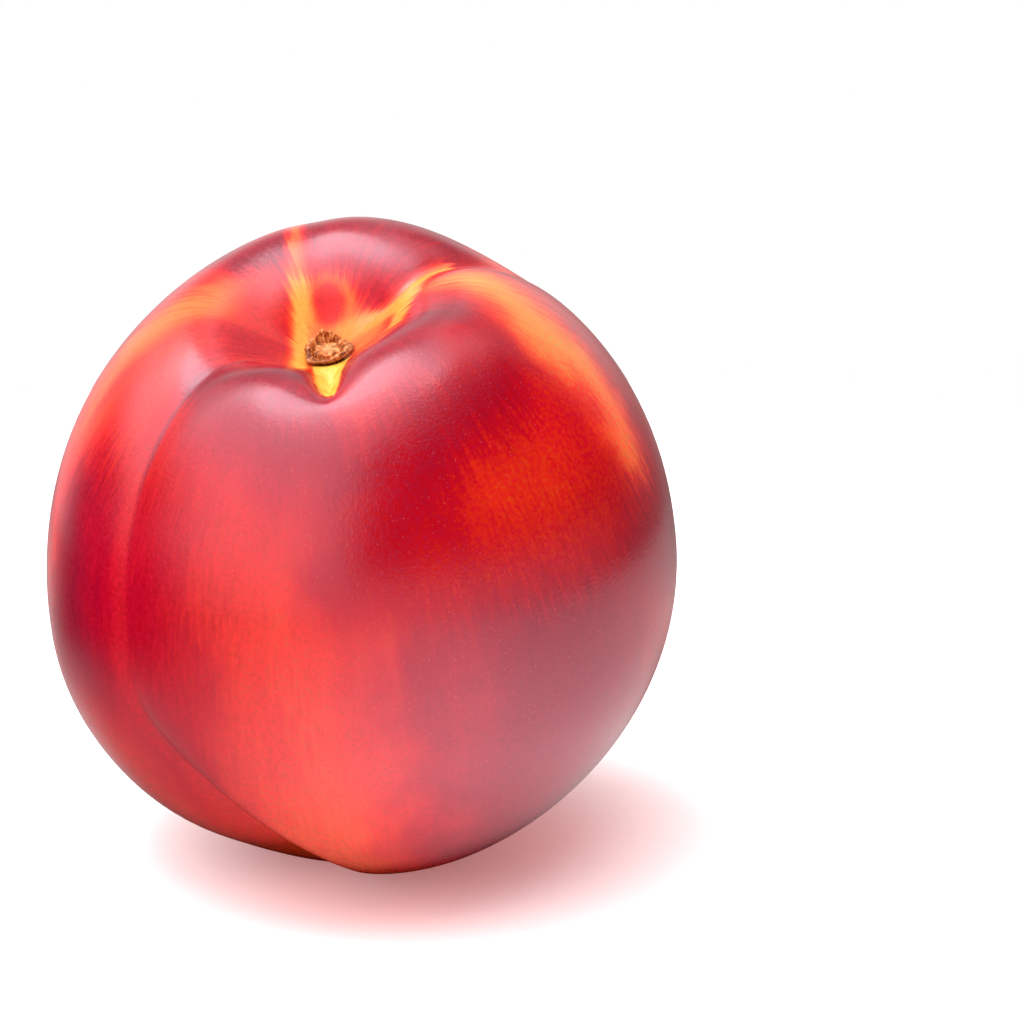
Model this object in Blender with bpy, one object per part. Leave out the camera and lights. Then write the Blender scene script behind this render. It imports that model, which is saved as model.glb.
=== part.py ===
"""A ripe nectarine as picked, resting on a small flat spot, with the dried stub of its stem.

The fruit's skin is one surface worked out from a few named sizes. It is described round the
stem's axis: a polar angle from the stem to the blossom end, and an azimuth from the suture side
towards the near cheek. Both pieces are then turned and tipped as the fruit lies, with the
world's origin in the middle of the flat spot. All lengths are metres, all angles degrees.
"""
import math

import bmesh
import bpy
import numpy as np
from mathutils import Matrix, Vector

# The body: half widths at the widest place, and heights above and below it
NEAR_CHEEK = 0.0366
FAR_CHEEK = 0.0348
SUTURE_SIDE = 0.0357
BACK_SIDE = 0.0366
SHOULDER_HEIGHT = 0.0378
BASE_HEIGHT = 0.0337
SHOULDER_FULLNESS = 2.16  # 2 is an ellipse, more is squarer
BASE_FULLNESS = 1.99

# The two halves swell low down, one on each side of the suture: height, polar angle, azimuth
NEAR_SWELL = 0.00205
NEAR_SWELL_POLAR = 115.0
NEAR_SWELL_AZIMUTH = 44.0
FAR_SWELL = 0.00163
FAR_SWELL_POLAR = 110.0
FAR_SWELL_AZIMUTH = -40.0
SWELL_POLAR_SPREAD = 32.0
SWELL_AZIMUTH_SPREAD = 48.0

# The underside it rests on
SEAT_SWELL = 0.00086
SEAT_SPREAD = 20.6
SEAT_RIGHT = 9.5  # how far the seat lies from straight below, to the right and to the back
SEAT_BACK = -4.2
FLAT_DEPTH = 0.00075  # how much of the round is lost to the flat spot

# The suture: a fold from the stem down one side, which wanders in azimuth as it goes
SUTURE_START = -5.4
SUTURE_HOOK = 15.7
SUTURE_DRIFT = 12.7
SUTURE_SWEEP = 26.8
SUTURE_TOP_DEPTH = 0.0022
SUTURE_MIDDLE_DEPTH = 0.0007
SUTURE_LOW_DEPTH = 0.0034
SUTURE_WIDTH = 0.005
SUTURE_LOW_WIDTH_NEAR = 0.0034
SUTURE_LOW_WIDTH_FAR = 0.0104
FOLD_LIP = 0.00044  # the near half rises a little where it folds over the line

# The crease on the shoulder opposite the suture
BACK_CREASE_DEPTH = 0.0029
BACK_CREASE_AZIMUTH = 175.6
BACK_CREASE_WIDTH = 0.003

# The stem's cavity and the shoulders round it
CAVITY_DEPTH = 0.0102
CAVITY_RADIUS = 0.0091
CAVITY_POWER = 1.9
SHOULDER_RING_RADIUS = 0.0188
SHOULDER_RING_WIDTH = 0.0078
SHOULDER_LOBES = (  # height, azimuth, spread in azimuth
    (0.0019, 99.0, 33.0),
    (0.0007, 25.0, 22.0),
    (0.0019, -121.0, 52.0),
    (0.00093, 208.0, 41.0),
)

# The blossom end: a shallow dimple with a small dry tip in it
DIMPLE_DEPTH = 0.0009
DIMPLE_RADIUS = 0.0045
TIP_HEIGHT = 0.0007
TIP_RADIUS = 0.0013

# The groove that the branch pressed across the top, through the stem
BRANCH_AZIMUTH = 53.5
BRANCH_FRONT_DEPTH = 0.0036
BRANCH_FRONT_WIDTH = 0.0013
BRANCH_BACK_DEPTH = 0.0003
BRANCH_BACK_WIDTH = 0.003

# The socket in the cavity's floor, and the dried stub rooted in it
SOCKET_POLAR = 2.45
SOCKET_DEPTH = 0.0018
GAP = 0.0003
STUB_SKIRT_RADIUS = 0.0025
STUB_DISC_RADIUS = 0.0014
STUB_DISC_HEIGHT = 0.0011
STUB_FLAP_HEIGHT = 0.0014
STUB_EDGE_THICKNESS = 0.0003
STUB_FLAPS = (  # how much higher the torn flaps stand, azimuth, spread in azimuth
    (0.0015, -122.0, 40.0),
    (0.0007, -38.0, 26.0),
    (0.0005, 120.0, 26.0),
)
STUB_TIPS = (  # how far the skirt's tips reach out, azimuth, spread in azimuth
    (0.0004, 132.0, 20.0),
    (0.0008, 16.0, 22.0),
    (0.0002, -60.0, 24.0),
)

# How it lies: the suture's heading, then the stem tipped to the front and to the left
HEADING = 221.5
TIP_FORWARD = 18.6
TIP_LEFT = 5.9

# How finely the skin and the stub are divided, and how near the flat spot a corner is drawn onto it
SNAP = 0.00015
SKIN_ROWS = 54
SKIN_COLUMNS = 84
STUB_COLUMNS = 44


def wrap(azimuth):
    """The same direction, between -180 and 180."""
    return (azimuth + 180.0) % 360.0 - 180.0


def bump(distance, spread):
    """A smooth hill, 1 at no distance."""
    return np.exp(-(distance / spread) ** 2)


def smooth(value, low, high):
    """0 below low, 1 above high, with a smooth rise between."""
    share = np.clip((value - low) / (high - low), 0.0, 1.0)
    return share * share * (3.0 - 2.0 * share)


def crease(distance, width, softness=0.0006):
    """The cross-section of a fold: 1 on its line, with a tight, rounded bottom."""
    return np.exp(-(np.sqrt(distance ** 2 + softness ** 2) - softness) / width)


def tipping():
    """The turn and the two tips from the stem's own axes to the world's."""
    turn, forward, left = np.radians([HEADING, TIP_FORWARD, TIP_LEFT])
    about_z = np.array([[np.cos(turn), -np.sin(turn), 0], [np.sin(turn), np.cos(turn), 0], [0, 0, 1]])
    about_y = np.array([[np.cos(left), 0, -np.sin(left)], [0, 1, 0], [np.sin(left), 0, np.cos(left)]])
    about_x = np.array(
        [[1, 0, 0], [0, np.cos(forward), -np.sin(forward)], [0, np.sin(forward), np.cos(forward)]]
    )
    return about_x @ about_y @ about_z


def suture_azimuth(polar):
    """Where the suture runs at this polar angle."""
    hook = SUTURE_HOOK * (1.0 - smooth(polar, 5.0, 16.0))
    drift = SUTURE_DRIFT * smooth(polar, 10.0, 80.0)
    sweep = SUTURE_SWEEP * smooth(polar, 78.0, 125.0)
    return SUTURE_START + hook + drift + sweep


def body_radius(polar, azimuth):
    """Distance of the plain body from its middle, with the swells of its two halves and its seat."""
    angle, turn = np.radians(polar), np.radians(azimuth)
    across, along = np.sin(turn), np.cos(turn)
    half_x = np.where(along > 0, SUTURE_SIDE, BACK_SIDE)
    half_y = np.where(across > 0, NEAR_CHEEK, FAR_CHEEK)
    half_width = 1.0 / np.sqrt((along / half_x) ** 2 + (across / half_y) ** 2)
    upper = polar <= 90.0
    height = np.where(upper, SHOULDER_HEIGHT, BASE_HEIGHT)
    power = np.where(upper, SHOULDER_FULLNESS, BASE_FULLNESS)
    side = np.sin(angle) / half_width
    rise = np.abs(np.cos(angle)) / height
    radius = (side ** power + rise ** power) ** (-1.0 / power)

    near = bump(wrap(azimuth - NEAR_SWELL_AZIMUTH), SWELL_AZIMUTH_SPREAD)
    radius = radius + NEAR_SWELL * near * bump(polar - NEAR_SWELL_POLAR, SWELL_POLAR_SPREAD)
    far = bump(wrap(azimuth - FAR_SWELL_AZIMUTH), SWELL_AZIMUTH_SPREAD)
    radius = radius + FAR_SWELL * far * bump(polar - FAR_SWELL_POLAR, SWELL_POLAR_SPREAD)

    down = tipping().T @ np.array([math.radians(SEAT_RIGHT), math.radians(SEAT_BACK), -1.0])
    down = down / np.linalg.norm(down)
    facing = np.sin(angle) * (along * down[0] + across * down[1]) + np.cos(angle) * down[2]
    off_seat = np.degrees(np.arccos(np.clip(facing, -1.0, 1.0)))
    return radius + SEAT_SWELL * bump(off_seat, SEAT_SPREAD)


def suture_cut(polar, azimuth, ring):
    """How deep the suture's fold cuts the skin, less the lip of the half that folds over it."""
    off = wrap(azimuth - suture_azimuth(polar))
    arc = 2.0 * ring * np.abs(np.sin(np.radians(off) / 2.0))
    top_part = (SUTURE_TOP_DEPTH - SUTURE_MIDDLE_DEPTH) * (1.0 - smooth(polar, 12.0, 62.0))
    fading = 1.0 - smooth(polar, 124.0, 152.0)
    low_part = (SUTURE_LOW_DEPTH - SUTURE_MIDDLE_DEPTH) * smooth(polar, 80.0, 112.0) * fading
    depth = (SUTURE_MIDDLE_DEPTH + top_part + low_part) * (0.4 + 0.6 * fading) * smooth(polar, 3.0, 14.0)
    low = smooth(polar, 80.0, 112.0)
    low_width = np.where(off > 0, SUTURE_LOW_WIDTH_NEAR, SUTURE_LOW_WIDTH_FAR)
    width = SUTURE_WIDTH + (low_width - SUTURE_WIDTH) * low
    cut = depth * crease(arc, width) * (1.0 - smooth(np.abs(off), 60.0, 110.0))
    lip = FOLD_LIP * smooth(polar, 85.0, 110.0) * (1.0 - smooth(polar, 116.0, 145.0))
    return cut - np.where(off > 0, lip * bump(arc - 0.0045, 0.0032), 0.0)


def back_crease_cut(polar, azimuth, ring):
    """How deep the crease opposite the suture cuts the shoulder."""
    off = wrap(azimuth - BACK_CREASE_AZIMUTH)
    arc = 2.0 * ring * np.abs(np.sin(np.radians(off) / 2.0))
    reach = smooth(polar, 5.0, 15.0) * (1.0 - smooth(polar, 22.0, 55.0))
    fading = 1.0 - smooth(np.abs(off), 50.0, 100.0)
    return BACK_CREASE_DEPTH * reach * crease(arc, BACK_CREASE_WIDTH) * fading


def top_rise(polar, azimuth, ring):
    """How far the shoulders stand up, less the branch's groove and the stem's cavity."""
    lobes = sum(height * bump(wrap(azimuth - middle), spread) for height, middle, spread in SHOULDER_LOBES)
    shoulders = lobes * bump(ring - SHOULDER_RING_RADIUS, SHOULDER_RING_WIDTH)
    off = np.radians(azimuth - BRANCH_AZIMUTH)
    across, along = ring * np.sin(off), ring * np.cos(off)
    front_reach = smooth(along, 0.003, 0.009) * (1.0 - smooth(along, 0.0125, 0.0195))
    front = BRANCH_FRONT_DEPTH * crease(across, BRANCH_FRONT_WIDTH, 0.0008) * front_reach
    back_reach = smooth(-along, 0.003, 0.009) * (1.0 - smooth(-along, 0.016, 0.026))
    back = BRANCH_BACK_DEPTH * bump(across, BRANCH_BACK_WIDTH) * back_reach
    cavity = CAVITY_DEPTH * np.exp(-(ring / CAVITY_RADIUS) ** CAVITY_POWER)
    return (shoulders - front - back - cavity) * (1.0 - smooth(polar, 60.0, 90.0))


def blossom_end_rise(polar, ring):
    """How far the blossom end is drawn in, with its tip standing out again."""
    drawn_in = DIMPLE_DEPTH * bump(ring, DIMPLE_RADIUS) - TIP_HEIGHT * bump(ring, TIP_RADIUS)
    return drawn_in * (polar > 90.0)


def skin(polar, azimuth):
    """Points of the skin in the stem's own axes."""
    radius = body_radius(polar, azimuth)
    angle, turn = np.radians(polar), np.radians(azimuth)
    ring = radius * np.sin(angle)
    cut = suture_cut(polar, azimuth, ring) + back_crease_cut(polar, azimuth, ring)
    share = 1.0 - cut / radius
    height = radius * np.cos(angle) * share + top_rise(polar, azimuth, ring) + blossom_end_rise(polar, ring)
    return np.stack([ring * share * np.cos(turn), ring * share * np.sin(turn), height], axis=-1)


def skin_grid():
    """Rings of skin points from the socket's mouth to near the blossom end, close along the suture."""
    share = np.arange(SKIN_ROWS) / SKIN_ROWS
    polar = SOCKET_POLAR + (180.0 - SOCKET_POLAR) * (0.38 * share + 0.62 * share ** 2)
    column = 360.0 * np.arange(SKIN_COLUMNS) / SKIN_COLUMNS
    column = column - 22.0 * np.sin(np.radians(column))
    polar, column = np.meshgrid(polar, column, indexing="ij")
    along_suture = 0.5 + 0.5 * np.cos(np.radians(column))
    return skin(polar, column + suture_azimuth(polar) * along_suture)


def closed_rings(first, rings, last):
    """Vertices and faces of one body made of rings of points, closed at both ends by one point."""
    rows, columns = rings.shape[0], rings.shape[1]
    points = [tuple(first)] + [tuple(p) for p in rings.reshape(-1, 3)] + [tuple(last)]
    end = len(points) - 1
    faces = []
    for j in range(columns):
        k = (j + 1) % columns
        faces.append((0, 1 + j, 1 + k))
        for i in range(rows - 1):
            here = 1 + i * columns
            below = here + columns
            faces.append((here + j, below + j, below + k, here + k))
        start = 1 + (rows - 1) * columns
        faces.append((start + j, end, start + k))
    return points, faces


def material(name, colour, roughness):
    """One plain surface."""
    made = bpy.data.materials.new(name)
    made.use_nodes = True
    shader = made.node_tree.nodes["Principled BSDF"]
    shader.inputs["Base Color"].default_value = (*colour, 1.0)
    shader.inputs["Roughness"].default_value = roughness
    return made


def add_object(name, mesh, surface, place):
    """A named object that shows its mesh with one surface, turned and tipped as the fruit lies."""
    mesh.materials.append(surface)
    for face in mesh.polygons:
        face.use_smooth = True
    made = bpy.data.objects.new(name, mesh)
    bpy.context.scene.collection.objects.link(made)
    made.location = place
    made.rotation_euler = Matrix(tipping().tolist()).to_euler()
    return made


def fruit_mesh():
    """The fruit in the stem's axes, with its socket and its flat spot. Also where its axes' origin goes."""
    rings = skin_grid()
    mouth = rings[0]
    bottom = mouth.copy()
    bottom[:, 2] = mouth[:, 2].mean() - SOCKET_DEPTH
    rings = np.concatenate([bottom[None], rings])
    blossom_end = skin(np.array([180.0]), np.array([0.0]))[0]
    points, faces = closed_rings((0.0, 0.0, bottom[0, 2]), rings, blossom_end)

    mesh = bpy.data.meshes.new("fruit")
    mesh.from_pydata(points, [], faces)
    shape = bmesh.new()
    shape.from_mesh(mesh)
    up = Vector(tipping()[2].tolist())
    level = min(corner.co.dot(up) for corner in shape.verts) + FLAT_DEPTH
    everything = shape.verts[:] + shape.edges[:] + shape.faces[:]
    bmesh.ops.bisect_plane(
        shape, geom=everything, dist=SNAP, plane_co=level * up, plane_no=-up, clear_outer=True
    )
    rim = [edge for edge in shape.edges if edge.is_boundary]
    spot = bmesh.ops.contextual_create(shape, geom=rim)["faces"][0]
    for corner in shape.verts:
        height = corner.co.dot(up) - level
        if height < 0.0 or corner in spot.verts:
            corner.co -= height * up
    for edge in spot.edges:
        edge.smooth = False
    bmesh.ops.recalc_face_normals(shape, faces=shape.faces[:])
    place = -(Matrix(tipping().tolist()) @ spot.calc_center_median_weighted())
    shape.to_mesh(mesh)
    shape.free()
    return mesh, place


def stub_rings(turn):
    """Rings of the stub in the stem's axes, from the peg's end to its broken top, and the socket's height.

    A peg in the socket, a ragged skirt over the floor, dried flaps that curl in at the back, and a disc.
    """
    around = np.radians(turn)
    ragged = 0.5 + 0.28 * np.sin(3 * around + 0.8) + 0.22 * np.sin(7 * around + 2.1)
    frayed = 0.5 + 0.3 * np.sin(4 * around + 1.7 + np.sin(around))
    frayed = frayed + 0.2 * np.sin(9 * around + np.sin(2 * around))
    mouth = skin(np.full(len(turn), SOCKET_POLAR), turn)
    floor = mouth[:, 2].mean()
    socket_radius = np.hypot(mouth[:, 0], mouth[:, 1]).mean()

    def ring(radius, height):
        """A ring at a radius from the axis and a height over the socket's mouth."""
        radius = np.broadcast_to(radius, turn.shape)
        height = np.broadcast_to(height, turn.shape)
        return np.stack([radius * np.cos(around), radius * np.sin(around), floor + height], axis=-1)

    def over_floor(radius):
        """A ring that follows the cavity's floor, one gap above it."""
        polar = np.degrees(np.arctan2(radius, SHOULDER_HEIGHT)) * np.ones_like(turn)
        return skin(polar, turn) + np.array([0.0, 0.0, 1.15 * GAP])

    tips = sum(reach * bump(wrap(turn - middle), spread) for reach, middle, spread in STUB_TIPS)
    flaps = sum(height * bump(wrap(turn - middle), spread) for height, middle, spread in STUB_FLAPS)
    skirt = STUB_SKIRT_RADIUS * (0.92 + 0.12 * ragged) + tips
    skirt_ring = over_floor(skirt)
    edge = skirt_ring + np.array([0.0, 0.0, STUB_EDGE_THICKNESS])
    flap = STUB_FLAP_HEIGHT * (0.62 + 0.3 * frayed) + flaps
    curl = bump(wrap(turn - STUB_FLAPS[0][1]), STUB_FLAPS[0][2])
    peg = socket_radius - GAP
    rings = np.stack([
        ring(peg, -SOCKET_DEPTH + GAP),
        ring(peg, 0.5 * GAP),
        over_floor(0.5 * (peg + STUB_SKIRT_RADIUS)),
        skirt_ring,
        edge,
        ring(skirt * (0.95 - 0.16 * curl) - 0.5 * tips, flap),
        ring(skirt * (0.82 - 0.16 * curl) - 0.5 * tips, flap - 0.0001 - 0.0005 * curl),
        ring(STUB_DISC_RADIUS * (1.14 - 0.1 * curl), 0.55 * STUB_DISC_HEIGHT),
        ring(STUB_DISC_RADIUS * (0.94 + 0.1 * ragged), STUB_DISC_HEIGHT * (0.9 + 0.2 * frayed)),
        ring(0.5 * STUB_DISC_RADIUS, STUB_DISC_HEIGHT + 0.0001),
    ])
    return rings, floor


def stub_mesh():
    """The dried stub, closed at the peg's end and at its broken top."""
    rings, floor = stub_rings(360.0 * np.arange(STUB_COLUMNS) / STUB_COLUMNS)
    peg_end = (0.0, 0.0, floor - SOCKET_DEPTH + GAP)
    disc_middle = (0.0, 0.0, floor + STUB_DISC_HEIGHT)
    points, faces = closed_rings(peg_end, rings, disc_middle)
    mesh = bpy.data.meshes.new("stem_stub")
    mesh.from_pydata(points, [], faces)
    shape = bmesh.new()
    shape.from_mesh(mesh)
    bmesh.ops.recalc_face_normals(shape, faces=shape.faces[:])
    shape.to_mesh(mesh)
    shape.free()
    return mesh


for old in list(bpy.data.objects):
    bpy.data.objects.remove(old, do_unlink=True)

fruit, resting_place = fruit_mesh()
add_object("fruit", fruit, material("nectarine_skin", (0.55, 0.03, 0.04), 0.32), resting_place)
add_object("stem_stub", stub_mesh(), material("dried_stem", (0.42, 0.17, 0.05), 0.8), resting_place)
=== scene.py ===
"""A ripe nectarine with its painted skin and dried stem stub, and a plain white studio for it.

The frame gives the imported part. Two finer pieces stand for its two nodes and keep their form: the
fruit's skin, worked out from the same sizes as the solid, and the dried stub in the stem's cavity.
Lengths are metres and angles degrees unless a name says otherwise. Polar is the angle from the
stem, and azimuth the one about it. The skin's strokes lie on two maps, both in degrees: one seen
down the stem (right, back), and one round the side (turn from the front, polar).
"""
import math
from types import SimpleNamespace

import bpy
import numpy as np
from bpy.props import FloatProperty, FloatVectorProperty, IntProperty, PointerProperty
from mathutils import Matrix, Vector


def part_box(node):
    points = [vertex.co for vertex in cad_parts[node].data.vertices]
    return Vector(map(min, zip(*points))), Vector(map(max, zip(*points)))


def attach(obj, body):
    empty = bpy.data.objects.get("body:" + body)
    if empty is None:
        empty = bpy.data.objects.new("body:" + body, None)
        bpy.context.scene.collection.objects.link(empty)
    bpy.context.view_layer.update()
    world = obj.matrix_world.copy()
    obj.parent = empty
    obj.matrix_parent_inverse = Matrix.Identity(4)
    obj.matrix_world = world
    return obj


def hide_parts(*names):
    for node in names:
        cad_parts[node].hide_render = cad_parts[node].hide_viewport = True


bl_info = {
    "name": "Nectarine",
    "version": (1, 0, 0),
    "blender": (4, 5, 0),
    "location": "3D View > Sidebar > Nectarine",
    "description": "Builds a ripe nectarine with its dried stem stub, and a white studio",
    "category": "Add Mesh",
}

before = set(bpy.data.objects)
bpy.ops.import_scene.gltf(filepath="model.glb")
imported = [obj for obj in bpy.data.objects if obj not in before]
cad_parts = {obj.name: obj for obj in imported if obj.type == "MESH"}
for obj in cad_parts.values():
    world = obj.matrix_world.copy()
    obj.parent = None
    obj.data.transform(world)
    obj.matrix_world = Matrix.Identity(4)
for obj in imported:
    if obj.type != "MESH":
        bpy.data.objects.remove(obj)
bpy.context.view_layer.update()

# The body: half widths at the widest place, and heights above and below it
NEAR_CHEEK = 0.0366
FAR_CHEEK = 0.0348
SUTURE_SIDE = 0.0357
BACK_SIDE = 0.0366
SHOULDER_HEIGHT = 0.0378
BASE_HEIGHT = 0.0337
SHOULDER_FULLNESS = 2.16  # 2 is an ellipse, more is squarer
BASE_FULLNESS = 1.99

# The two halves swell low down, one on each side of the suture
SWELLS = ((0.00205, 115, 44), (0.00163, 110, -40))  # height, polar, azimuth
SWELL_POLAR_SPREAD = 32
SWELL_AZIMUTH_SPREAD = 48

# The underside it rests on
SEAT_SWELL = 0.00086
SEAT_SPREAD = 20.6
SEAT_RIGHT = 9.5  # how far it lies from straight below, to the right and to the back
SEAT_BACK = -4.2
FLAT_DEPTH = 0.00075  # how much of the round is lost to the flat spot

# The suture: a fold from the stem down one side, which wanders in azimuth as it goes
SUTURE_START = -5.4
SUTURE_HOOK = 15.7
SUTURE_DRIFT = 12.7
SUTURE_SWEEP = 26.8
SUTURE_TOP_DEPTH = 0.0022
SUTURE_MIDDLE_DEPTH = 0.0007
SUTURE_LOW_DEPTH = 0.0034
SUTURE_WIDTH = 0.005
SUTURE_LOW_WIDTH_NEAR = 0.0034
SUTURE_LOW_WIDTH_FAR = 0.0104
SUTURE_FADE_IN = (3, 14)  # the polar angles where its parts start and end
SUTURE_TOP = (12, 62)
SUTURE_LOW = (80, 112)
SUTURE_FADE_OUT = (124, 152)
SUTURE_SIDES = (60, 110)  # nothing of it is left this far round from its line
FOLD_LIP = 0.00044  # the near half rises a little where it folds over the line
LIP_START = (85, 110)
LIP_END = (116, 145)
LIP_DISTANCE = 0.0045
LIP_SPREAD = 0.0032

# The crease on the shoulder opposite the suture
BACK_CREASE_DEPTH = 0.0029
BACK_CREASE_AZIMUTH = 175.6
BACK_CREASE_WIDTH = 0.003
BACK_CREASE_START = (5, 15)
BACK_CREASE_END = (22, 55)
BACK_CREASE_SIDES = (50, 100)

# The stem's cavity and the shoulders round it
CAVITY_DEPTH = 0.0102
CAVITY_RADIUS = 0.0091
CAVITY_POWER = 1.9
SHOULDER_RING_RADIUS = 0.0188
SHOULDER_RING_WIDTH = 0.0078
TOP_END = (60, 90)  # the polar angles where the top's forms run out
SHOULDER_LOBES = (  # height, azimuth, spread in azimuth
    (0.0019, 99, 33), (0.0007, 25, 22), (0.0019, -121, 52), (0.00093, 208, 41),
)

# The blossom end: a shallow dimple with a small dry tip in it
DIMPLE_DEPTH = 0.0009
DIMPLE_RADIUS = 0.0045
TIP_HEIGHT = 0.0007
TIP_RADIUS = 0.0013

# The groove that the branch pressed across the top, through the stem
BRANCH_AZIMUTH = 53.5
BRANCH_FRONT_DEPTH = 0.0036
BRANCH_FRONT_WIDTH = 0.0013
BRANCH_FRONT_END = (0.0125, 0.0195)
BRANCH_BACK_DEPTH = 0.0003
BRANCH_BACK_WIDTH = 0.003
BRANCH_BACK_END = (0.016, 0.026)
BRANCH_START = (0.003, 0.009)  # distances from the stem

# The socket in the cavity's floor, and the dried stub rooted in it
SOCKET_POLAR = 2.45
SOCKET_DEPTH = 0.0018
GAP = 0.0003
STUB_SKIRT_RADIUS = 0.0025
STUB_DISC_RADIUS = 0.0014
STUB_DISC_HEIGHT = 0.0011
STUB_FLAP_HEIGHT = 0.0014
STUB_EDGE_THICKNESS = 0.0003
STUB_FLAPS = (  # how much higher the torn flaps stand, azimuth, spread in azimuth
    (0.0015, -122, 40), (0.0007, -38, 26), (0.0005, 120, 26),
)
STUB_TIPS = (  # how far the skirt's tips reach out, azimuth, spread in azimuth
    (0.0004, 132, 20), (0.0008, 16, 22), (0.0002, -60, 24),
)

# How the skin's points are spread: 1 would space the rings evenly, 0 crowds them by the stem
STEM_EVENNESS = 0.38
SUTURE_PULL = 22  # how far the columns are drawn towards the suture
STUB_ROWS_BETWEEN = 5  # rows of the stub's mesh from each of its rings to the next

# How it lies: the suture's heading, then the stem tipped to the front and to the left
HEADING = 221.5
TIP_FORWARD = 18.6
TIP_LEFT = 5.9

# The painted skin: 0 is the yellow ground colour, 1 a crimson blush and 1.2 its dusky deepest
# Past 1 the blush is partly deeper colour and partly painted shade that darkens the top.
GROUND_BLUSH = 0.8
DEEPEST_BLUSH_AND_SHADE = 1.2
TOP_REACH = 47  # how far down from the stem the strokes on the top may reach
# Round the side. Start and end are (turn from the front, down from the stem), in degrees
SIDE_STROKES = (  # start, end, start width, end width, softness, blush, strength
    ((-100, 22), (-84, 50), 9, 7, 9, 0.36, 0.9),  # orange streaks on the far shoulder
    ((-78, 28), (-72, 50), 7, 4, 7, 0.6, 0.9),  # bright red beside them
    ((-75, 48), (-76, 76), 4, 5, 7, 0.56, 0.9),
    ((-72, 24), (-60, 36), 5, 5, 6, 0.64, 0.8),  # a light patch on the far lobe
    ((-62, 58), (-57, 96), 7, 9, 8, 1, 1),  # crimson on the far half
    ((-38, 54), (-33, 90), 5, 6, 6, 0.84, 0.9),  # crimson along the fold
    ((-22, 45), (-18, 84), 8, 8, 9, 0.72, 0.7),
    ((-9, 62), (-2, 114), 9, 15, 14, 0.58, 0.95),  # coral down the front
    ((-25, 70), (-24, 80), 3, 3, 7, 0.86, 0.8),  # redder beside it
    ((-34, 31), (0, 37), 5, 6, 8, 1.04, 0.85),  # dusky red below the lip, partly painted shade
    ((7, 43), (16, 40), 4, 4, 5, 1.06, 0.8),
    ((-8, 108), (10, 132), 10, 16, 14, 0.5, 0.8),
    ((-56, 108), (-28, 132), 16, 16, 12, 0.5, 0.95),
    ((40, 82), (38, 114), 20, 26, 16, 1.07, 1),  # dusky red low on the near cheek
    ((40, 54), (62, 62), 16, 12, 8, 0.76, 0.9),
    ((5, 56), (28, 42), 7, 7, 8, 0.92, 1),  # a dark crimson arch over the near cheek
    ((28, 40), (64, 36), 7, 4, 7, 0.98, 1),
    ((34, 51), (50, 54), 5, 6, 8, 0.62, 0.9),  # and a glow of orange red within it
    ((74, 62), (82, 48), 6, 7, 6, 0.36, 0.95),  # an orange band over its edge
    ((66, 42), (72, 48), 3, 3, 5, 0.7, 0.9),
    ((84, 40), (104, 28), 9, 9, 8, 0.17, 0.95),
    ((66, 78), (86, 84), 9, 9, 7, 0.98, 0.95),
    ((140, 48), (136, 96), 13, 16, 14, 0.36, 0.8),  # the side that leaves shaded
    ((-150, 40), (-132, 84), 10, 9, 12, 0.62, 0.8),
    ((110, 95), (100, 120), 12, 14, 12, 0.7, 0.7),
)
# Seen down the stem. Start and end are (right, back), in degrees from the stem
TOP_STROKES = (
    ((-32, 3), (-14, 9), 5.5, 4.5, 5, 0.32, 0.85),  # orange flecks left of the cavity
    ((-12, 3), (-11, 9), 3.5, 3.5, 3.5, 0.72, 0.8),
    ((-14, -5), (-9, -4), 3, 3, 3.5, 0.84, 0.7),
    ((-20, -17), (-4, -20), 4, 4, 3, 1.2, 0.95),  # dark red lip in front, partly painted shade
    ((-18, -23), (0, -28), 3, 3, 3, 1.06, 0.95),
    ((8, -15), (22, -8), 4, 4, 3.5, 1.16, 0.95),
    ((-20, 22), (-8, 22), 4, 4.5, 4, 1.06, 0.95),  # and dark red along the back shoulder, partly painted shade
    ((-15, 16), (-8.5, 19), 2.5, 3, 2.5, 1.15, 0.95),
    ((-2, 25), (22, 25), 5, 5, 4.5, 1.08, 0.95),
    ((3, 19), (14, 17), 3.5, 3.5, 3, 1, 0.85),
    ((5, -22), (18, -19), 4, 4, 4, 1.06, 0.9),  # dusky red on the near hump, partly painted shade
    ((25, -19), (30, -14), 3.5, 3.5, 4, 0.86, 0.8),
    ((1, 3), (6, 3), 5, 5, 2.5, 0.36, 0.95),  # orange floor round the stub
    ((0, 9.6), (0, 9.6), 5, 5, 1.8, 0.3, 0.9),  # a yellow ring round a red spot
    ((0.2, 9.2), (-0.2, 10.4), 2.6, 2.6, 1.6, 0.74, 0.95),
    ((2.5, 4.5), (13.5, 6.5), 1.8, 3, 1.2, 0.22, 1),  # the wedge that runs to the back right
    ((13.5, 6.5), (22.5, 17.5), 3, 0.8, 1.3, 0.2, 1),
    ((14.2, 6.5), (12.6, -2.5), 2, 1.7, 1, 0.14, 1),
    ((14.5, 6.5), (17, 11), 1, 1.2, 1.6, 0.06, 0.8),
    ((8, 12.2), (9, 10.4), 2, 1.6, 1.6, 0.86, 1),  # a dark red diamond in it
    ((-6.2, 29), (-4.9, 12), 1.5, 1.7, 1.3, 0.38, 1),  # the stripe where the branch lay
    ((-4.7, 12), (-4.4, -6), 1.7, 1.7, 1.2, 0.14, 1),
)
# The bare wedge where the branch left in front, with cleaner edges than the rest
BARE_STROKES = (
    ((0.6, -3), (1.6, -18), 3.2, 2.3, 0.5, 0.02, 1),
    ((1.6, -18), (3.2, -26), 2.3, 0.5, 0.5, 0.04, 1),
)
# Other marked places: start, end, start width, end width, softness
NEAR_CHEEK_PATCH = ((26, 48), (56, 48), 26, 26, 16)
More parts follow.
